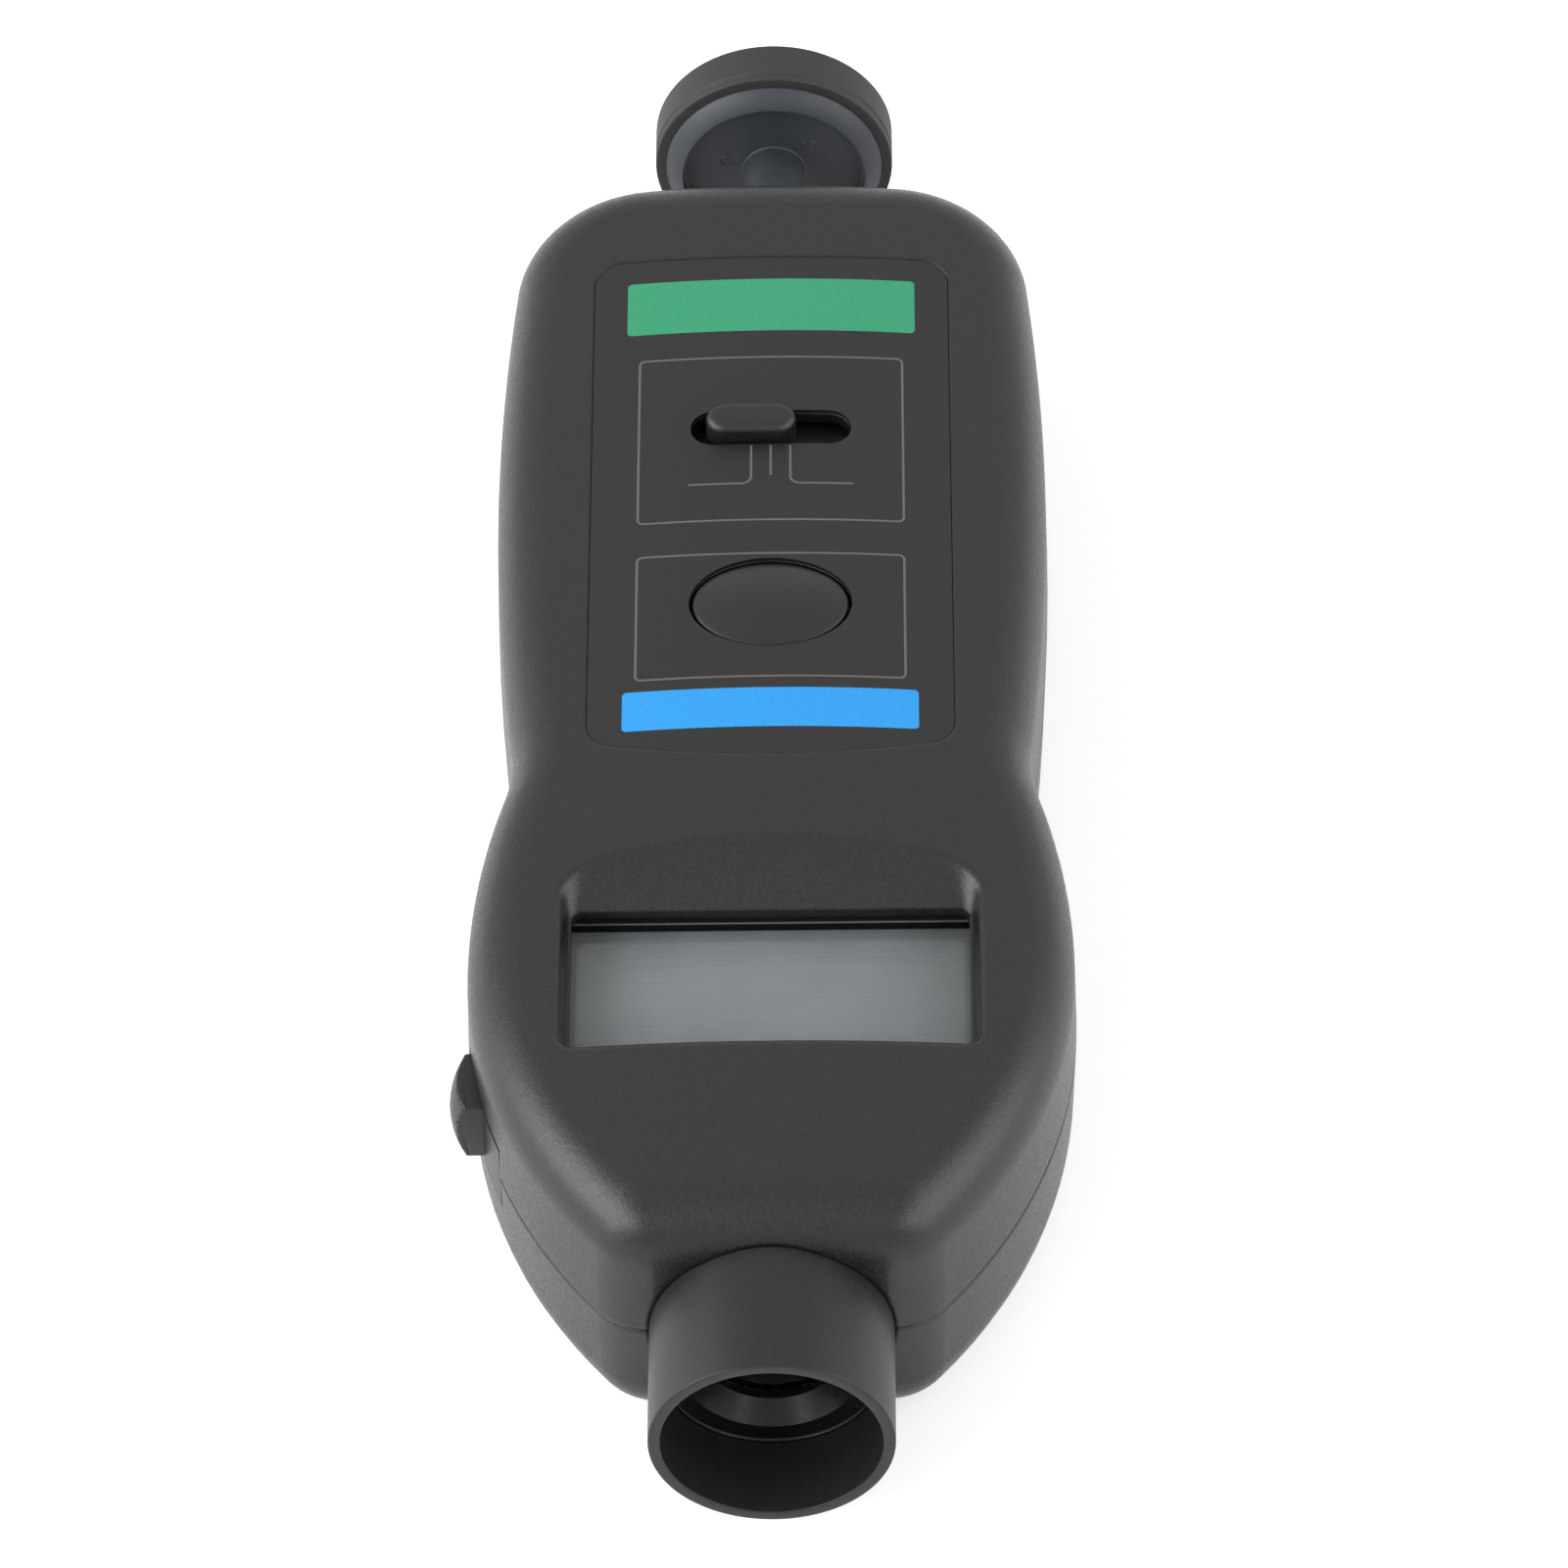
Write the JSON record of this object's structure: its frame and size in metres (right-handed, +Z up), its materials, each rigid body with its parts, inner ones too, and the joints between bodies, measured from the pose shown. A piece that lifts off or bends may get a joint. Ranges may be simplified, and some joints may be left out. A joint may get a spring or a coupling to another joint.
{
  "type": "digital tachometer",
  "caption": "Hand-held digital tachometer with a light tube at one end, a contact wheel on a turning spindle at the other, a display, push buttons, a mode slide and a battery bay.",
  "frame": {"origin": "on the flat back, on the centre line, directly under the widest point of the housing", "axes": "+X to the right, +Y along the body from the light tube to the wheel, +Z up out of the display side with the instrument lying on its back"},
  "size_m": [0.077, 0.2251, 0.0403],
  "materials": {
    "case_plastic": "black ABS moulding with a fine spark-eroded texture",
    "tube_plastic": "black moulded plastic, smoother than the case",
    "button_plastic": "black moulded plastic with a soft satin skin",
    "panel_film": "fine-grained plastic overlay",
    "green_print": "screen-printed ink",
    "blue_print": "screen-printed ink",
    "line_print": "thin screen-printed ink",
    "window_clear": "clear polished acrylic",
    "display_grey": "blank reflective liquid-crystal glass",
    "lens_glass": "clear moulded lens",
    "frame_white": "white moulded plastic",
    "switch_plastic": "black moulded switch body",
    "contact_rubber": "layered conductive rubber",
    "board_laminate": "green solder mask on glass-fibre laminate",
    "chip_black": "moulded component cases",
    "ribbon_film": "flat cable film",
    "emitter_clear": "clear cast epoxy",
    "detector_dark": "dark cast epoxy",
    "screw_steel": "blackened steel",
    "shaft_steel": "ground steel",
    "spring_steel": "nickel-plated sheet",
    "bush_bronze": "sintered bronze",
    "cell_jacket": "plain wrapped steel can",
    "hub_plastic": "slate-grey moulded plastic",
    "tyre_rubber": "dark matt rubber"
  },
  "bodies": {
    "housing": {"front_shell": "case_plastic", "rear_shell": "case_plastic", "housing_screws": "screw_steel", "lens_tube": "tube_plastic", "lens_ring": "tube_plastic", "front_lens": "lens_glass", "optics_holder": "tube_plastic", "light_source": "emitter_clear", "light_detector": "detector_dark", "sensor_board": "board_laminate", "sensor_ribbon": "ribbon_film", "display_window": "window_clear", "display_glass": "display_grey", "display_frame": "frame_white", "display_contacts": "contact_rubber", "control_panel": "panel_film", "green_strip": "green_print", "blue_strip": "blue_print", "panel_lines": "line_print", "slide_switch": "switch_plastic", "memory_switch": "switch_plastic", "measure_switch": "switch_plastic", "main_board": "board_laminate", "board_chips": "chip_black", "board_screws": "screw_steel", "battery_1": "cell_jacket", "battery_2": "cell_jacket", "battery_3": "cell_jacket", "battery_4": "cell_jacket", "contact_plates": "spring_steel", "contact_springs": "spring_steel", "bearing_block": "tube_plastic", "inner_bush": "bush_bronze", "outer_bush": "bush_bronze", "encoder_reader": "chip_black", "reader_board": "board_laminate"},
    "mode_slider": {"mode_knob": "button_plastic", "switch_lever": "switch_plastic"},
    "memory_key": {"memory_button": "button_plastic"},
    "measure_key": {"measure_button": "button_plastic"},
    "cover": {"battery_cover": "case_plastic"},
    "spindle": {"contact_shaft": "shaft_steel", "shaft_clip": "spring_steel", "encoder_disc": "chip_black"},
    "wheel": {"wheel_hub": "hub_plastic", "wheel_tyre": "tyre_rubber"}
  },
  "joints": [
    {"name": "spindle_spin", "type": "hinge", "parent": "housing", "child": "spindle", "pos_m": [0, 0.12, 0.0185], "axis": [0, 1, 0], "continuous": true},
    {"name": "wheel_pull", "type": "slide", "parent": "spindle", "child": "wheel", "axis": [0, 1, 0], "range_m": [0, 0.02]},
    {"name": "mode_slide", "type": "slide", "parent": "housing", "child": "mode_slider", "axis": [1, 0, 0], "range_m": [0, 0.005]},
    {"name": "memory_press", "type": "slide", "parent": "housing", "child": "memory_key", "axis": [0, 0, -1], "range_m": [0, 0.0008], "stiffness_N_per_m": 1200},
    {"name": "measure_press", "type": "slide", "parent": "housing", "child": "measure_key", "axis": [1, 0, 0], "range_m": [0, 0.0015], "stiffness_N_per_m": 800},
    {"name": "cover_swing", "type": "hinge", "parent": "housing", "child": "cover", "pos_m": [0, 0.082, 0], "axis": [1, 0, 0], "range_deg": [0, 60]}
  ]
}
